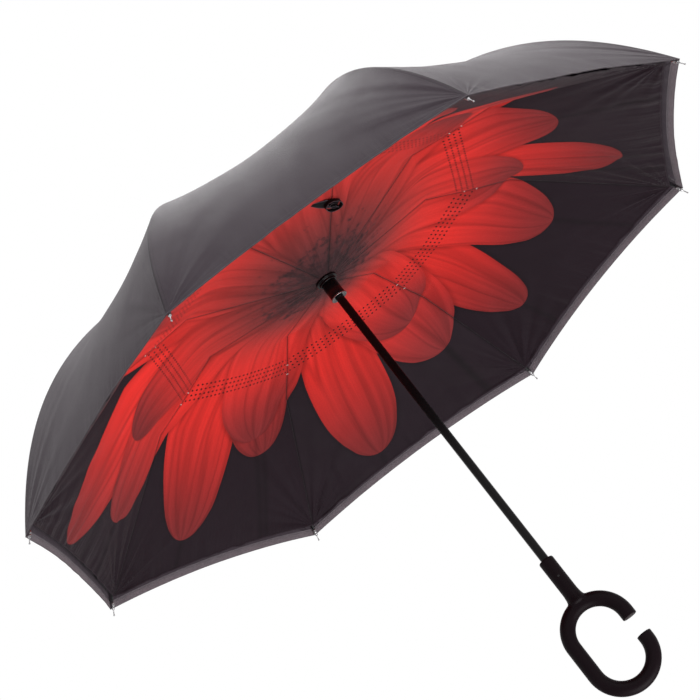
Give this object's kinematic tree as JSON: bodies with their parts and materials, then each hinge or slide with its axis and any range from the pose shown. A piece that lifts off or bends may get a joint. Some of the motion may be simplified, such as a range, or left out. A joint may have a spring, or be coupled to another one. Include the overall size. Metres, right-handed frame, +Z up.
{
  "type": "inverted umbrella",
  "caption": "Reverse-folding umbrella with two cloth layers, ribs between them, a sliding runner and a C-shaped arm handle, shown open.",
  "frame": {"origin": "centre of the C-shaped handle's loop, on the shaft's axis, where a hand or forearm holds the umbrella", "axes": "+Z up the shaft towards the canopy; the C lies in the XZ plane with its mouth towards +X; ribs stand at 22.5 degrees and every 45 degrees from +X"},
  "size_m": [0.9644, 0.9644, 0.7813],
  "materials": {
    "cloth_grey": "satin",
    "cloth_plum_print": "satin",
    "strap_black": "matte",
    "soft_touch_black": "matte",
    "moulded_black": "satin",
    "runner_gloss_black": "gloss",
    "shaft_black": "gloss",
    "plated_steel": "satin",
    "rib_steel": "satin",
    "fibreglass_black": "satin",
    "tip_silver": "polished"
  },
  "bodies": {
    "root": {"shaft": "shaft_black", "handle": "soft_touch_black", "handle_end_cap_upper": "soft_touch_black", "handle_end_cap_lower": "soft_touch_black", "handle_pin": "plated_steel", "top_notch": "moulded_black", "notch_ring_wire": "plated_steel", "notch_pin": "plated_steel", "top_washer": "plated_steel", "top_cap": "moulded_black", "stop_pin": "plated_steel", "outer_canopy": "cloth_grey"},
    "runner": {"runner_body": "runner_gloss_black", "runner_collar": "runner_gloss_black", "runner_end_ring": "plated_steel", "runner_crown": "moulded_black", "runner_ring_wire": "plated_steel", "inner_canopy": "cloth_plum_print", "closure_strap": "strap_black"},
    "inner_rib_1_arm": {"inner_rib_1": "rib_steel"},
    "strut_1_arm": {"strut_1": "rib_steel"},
    "outer_rod_1_arm": {"outer_rod_1": "fibreglass_black", "rib_tip_1": "tip_silver"},
    "inner_rib_2_arm": {"inner_rib_2": "rib_steel"},
    "strut_2_arm": {"strut_2": "rib_steel"},
    "outer_rod_2_arm": {"outer_rod_2": "fibreglass_black", "rib_tip_2": "tip_silver"},
    "inner_rib_3_arm": {"inner_rib_3": "rib_steel"},
    "strut_3_arm": {"strut_3": "rib_steel"},
    "outer_rod_3_arm": {"outer_rod_3": "fibreglass_black", "rib_tip_3": "tip_silver"},
    "inner_rib_4_arm": {"inner_rib_4": "rib_steel"},
    "strut_4_arm": {"strut_4": "rib_steel"},
    "outer_rod_4_arm": {"outer_rod_4": "fibreglass_black", "rib_tip_4": "tip_silver"},
    "inner_rib_5_arm": {"inner_rib_5": "rib_steel"},
    "strut_5_arm": {"strut_5": "rib_steel"},
    "outer_rod_5_arm": {"outer_rod_5": "fibreglass_black", "rib_tip_5": "tip_silver"},
    "inner_rib_6_arm": {"inner_rib_6": "rib_steel"},
    "strut_6_arm": {"strut_6": "rib_steel"},
    "outer_rod_6_arm": {"outer_rod_6": "fibreglass_black", "rib_tip_6": "tip_silver"},
    "inner_rib_7_arm": {"inner_rib_7": "rib_steel"},
    "strut_7_arm": {"strut_7": "rib_steel"},
    "outer_rod_7_arm": {"outer_rod_7": "fibreglass_black", "rib_tip_7": "tip_silver"},
    "inner_rib_8_arm": {"inner_rib_8": "rib_steel"},
    "strut_8_arm": {"strut_8": "rib_steel"},
    "outer_rod_8_arm": {"outer_rod_8": "fibreglass_black", "rib_tip_8": "tip_silver"}
  },
  "joints": [
    {"name": "runner_slide", "type": "slide", "parent": "root", "child": "runner", "axis": [0, 0, 1], "range_m": [-0.42082, 0], "deforming": ["outer_canopy", "inner_canopy", "closure_strap"]},
    {"name": "rib_1_hinge", "type": "hinge", "parent": "runner", "child": "inner_rib_1_arm", "pos_m": [0.01201, 0.00498, 0.604], "axis": [0.3827, -0.9239, 0], "range_deg": [0, 78.86]},
    {"name": "strut_1_hinge", "type": "hinge", "parent": "root", "child": "strut_1_arm", "pos_m": [0.01201, 0.00498, 0.68], "axis": [0.3827, -0.9239, 0], "range_deg": [-83.6, 0]},
    {"name": "elbow_1_hinge", "type": "hinge", "parent": "inner_rib_1_arm", "child": "outer_rod_1_arm", "pos_m": [0.2977, 0.12331, 0.66501], "axis": [0.3827, -0.9239, 0], "range_deg": [0, 43.11]},
    {"name": "rib_2_hinge", "type": "hinge", "parent": "runner", "child": "inner_rib_2_arm", "pos_m": [0.00498, 0.01201, 0.604], "axis": [0.9239, -0.3827, 0], "range_deg": [0, 78.86]},
    {"name": "strut_2_hinge", "type": "hinge", "parent": "root", "child": "strut_2_arm", "pos_m": [0.00498, 0.01201, 0.68], "axis": [0.9239, -0.3827, 0], "range_deg": [-83.6, 0]},
    {"name": "elbow_2_hinge", "type": "hinge", "parent": "inner_rib_2_arm", "child": "outer_rod_2_arm", "pos_m": [0.12331, 0.2977, 0.66501], "axis": [0.9239, -0.3827, 0], "range_deg": [0, 43.11]},
    {"name": "rib_3_hinge", "type": "hinge", "parent": "runner", "child": "inner_rib_3_arm", "pos_m": [-0.00498, 0.01201, 0.604], "axis": [0.9239, 0.3827, 0], "range_deg": [0, 78.86]},
    {"name": "strut_3_hinge", "type": "hinge", "parent": "root", "child": "strut_3_arm", "pos_m": [-0.00498, 0.01201, 0.68], "axis": [0.9239, 0.3827, 0], "range_deg": [-83.6, 0]},
    {"name": "elbow_3_hinge", "type": "hinge", "parent": "inner_rib_3_arm", "child": "outer_rod_3_arm", "pos_m": [-0.12331, 0.2977, 0.66501], "axis": [0.9239, 0.3827, 0], "range_deg": [0, 43.11]},
    {"name": "rib_4_hinge", "type": "hinge", "parent": "runner", "child": "inner_rib_4_arm", "pos_m": [-0.01201, 0.00498, 0.604], "axis": [0.3827, 0.9239, 0], "range_deg": [0, 78.86]},
    {"name": "strut_4_hinge", "type": "hinge", "parent": "root", "child": "strut_4_arm", "pos_m": [-0.01201, 0.00498, 0.68], "axis": [0.3827, 0.9239, 0], "range_deg": [-83.6, 0]},
    {"name": "elbow_4_hinge", "type": "hinge", "parent": "inner_rib_4_arm", "child": "outer_rod_4_arm", "pos_m": [-0.2977, 0.12331, 0.66501], "axis": [0.3827, 0.9239, 0], "range_deg": [0, 43.11]},
    {"name": "rib_5_hinge", "type": "hinge", "parent": "runner", "child": "inner_rib_5_arm", "pos_m": [-0.01201, -0.00498, 0.604], "axis": [-0.3827, 0.9239, 0], "range_deg": [0, 78.86]},
    {"name": "strut_5_hinge", "type": "hinge", "parent": "root", "child": "strut_5_arm", "pos_m": [-0.01201, -0.00498, 0.68], "axis": [-0.3827, 0.9239, 0], "range_deg": [-83.6, 0]},
    {"name": "elbow_5_hinge", "type": "hinge", "parent": "inner_rib_5_arm", "child": "outer_rod_5_arm", "pos_m": [-0.2977, -0.12331, 0.66501], "axis": [-0.3827, 0.9239, 0], "range_deg": [0, 43.11]},
    {"name": "rib_6_hinge", "type": "hinge", "parent": "runner", "child": "inner_rib_6_arm", "pos_m": [-0.00498, -0.01201, 0.604], "axis": [-0.9239, 0.3827, 0], "range_deg": [0, 78.86]},
    {"name": "strut_6_hinge", "type": "hinge", "parent": "root", "child": "strut_6_arm", "pos_m": [-0.00498, -0.01201, 0.68], "axis": [-0.9239, 0.3827, 0], "range_deg": [-83.6, 0]},
    {"name": "elbow_6_hinge", "type": "hinge", "parent": "inner_rib_6_arm", "child": "outer_rod_6_arm", "pos_m": [-0.12331, -0.2977, 0.66501], "axis": [-0.9239, 0.3827, 0], "range_deg": [0, 43.11]},
    {"name": "rib_7_hinge", "type": "hinge", "parent": "runner", "child": "inner_rib_7_arm", "pos_m": [0.00498, -0.01201, 0.604], "axis": [-0.9239, -0.3827, 0], "range_deg": [0, 78.86]},
    {"name": "strut_7_hinge", "type": "hinge", "parent": "root", "child": "strut_7_arm", "pos_m": [0.00498, -0.01201, 0.68], "axis": [-0.9239, -0.3827, 0], "range_deg": [-83.6, 0]},
    {"name": "elbow_7_hinge", "type": "hinge", "parent": "inner_rib_7_arm", "child": "outer_rod_7_arm", "pos_m": [0.12331, -0.2977, 0.66501], "axis": [-0.9239, -0.3827, 0], "range_deg": [0, 43.11]},
    {"name": "rib_8_hinge", "type": "hinge", "parent": "runner", "child": "inner_rib_8_arm", "pos_m": [0.01201, -0.00498, 0.604], "axis": [-0.3827, -0.9239, 0], "range_deg": [0, 78.86]},
    {"name": "strut_8_hinge", "type": "hinge", "parent": "root", "child": "strut_8_arm", "pos_m": [0.01201, -0.00498, 0.68], "axis": [-0.3827, -0.9239, 0], "range_deg": [-83.6, 0]},
    {"name": "elbow_8_hinge", "type": "hinge", "parent": "inner_rib_8_arm", "child": "outer_rod_8_arm", "pos_m": [0.2977, -0.12331, 0.66501], "axis": [-0.3827, -0.9239, 0], "range_deg": [0, 43.11]}
  ],
  "couplings": [
    {"joint": "rib_1_hinge", "follows": "runner_slide", "rad_per_m": -3.2698},
    {"joint": "strut_1_hinge", "follows": "runner_slide", "rad_per_m": 3.4663},
    {"joint": "elbow_1_hinge", "follows": "runner_slide", "rad_per_m": -1.787},
    {"joint": "rib_2_hinge", "follows": "runner_slide", "rad_per_m": -3.2698},
    {"joint": "strut_2_hinge", "follows": "runner_slide", "rad_per_m": 3.4663},
    {"joint": "elbow_2_hinge", "follows": "runner_slide", "rad_per_m": -1.787},
    {"joint": "rib_3_hinge", "follows": "runner_slide", "rad_per_m": -3.2698},
    {"joint": "strut_3_hinge", "follows": "runner_slide", "rad_per_m": 3.4663},
    {"joint": "elbow_3_hinge", "follows": "runner_slide", "rad_per_m": -1.787},
    {"joint": "rib_4_hinge", "follows": "runner_slide", "rad_per_m": -3.2698},
    {"joint": "strut_4_hinge", "follows": "runner_slide", "rad_per_m": 3.4663},
    {"joint": "elbow_4_hinge", "follows": "runner_slide", "rad_per_m": -1.787},
    {"joint": "rib_5_hinge", "follows": "runner_slide", "rad_per_m": -3.2698},
    {"joint": "strut_5_hinge", "follows": "runner_slide", "rad_per_m": 3.4663},
    {"joint": "elbow_5_hinge", "follows": "runner_slide", "rad_per_m": -1.787},
    {"joint": "rib_6_hinge", "follows": "runner_slide", "rad_per_m": -3.2698},
    {"joint": "strut_6_hinge", "follows": "runner_slide", "rad_per_m": 3.4663},
    {"joint": "elbow_6_hinge", "follows": "runner_slide", "rad_per_m": -1.787},
    {"joint": "rib_7_hinge", "follows": "runner_slide", "rad_per_m": -3.2698},
    {"joint": "strut_7_hinge", "follows": "runner_slide", "rad_per_m": 3.4663},
    {"joint": "elbow_7_hinge", "follows": "runner_slide", "rad_per_m": -1.787},
    {"joint": "rib_8_hinge", "follows": "runner_slide", "rad_per_m": -3.2698},
    {"joint": "strut_8_hinge", "follows": "runner_slide", "rad_per_m": 3.4663},
    {"joint": "elbow_8_hinge", "follows": "runner_slide", "rad_per_m": -1.787}
  ]
}
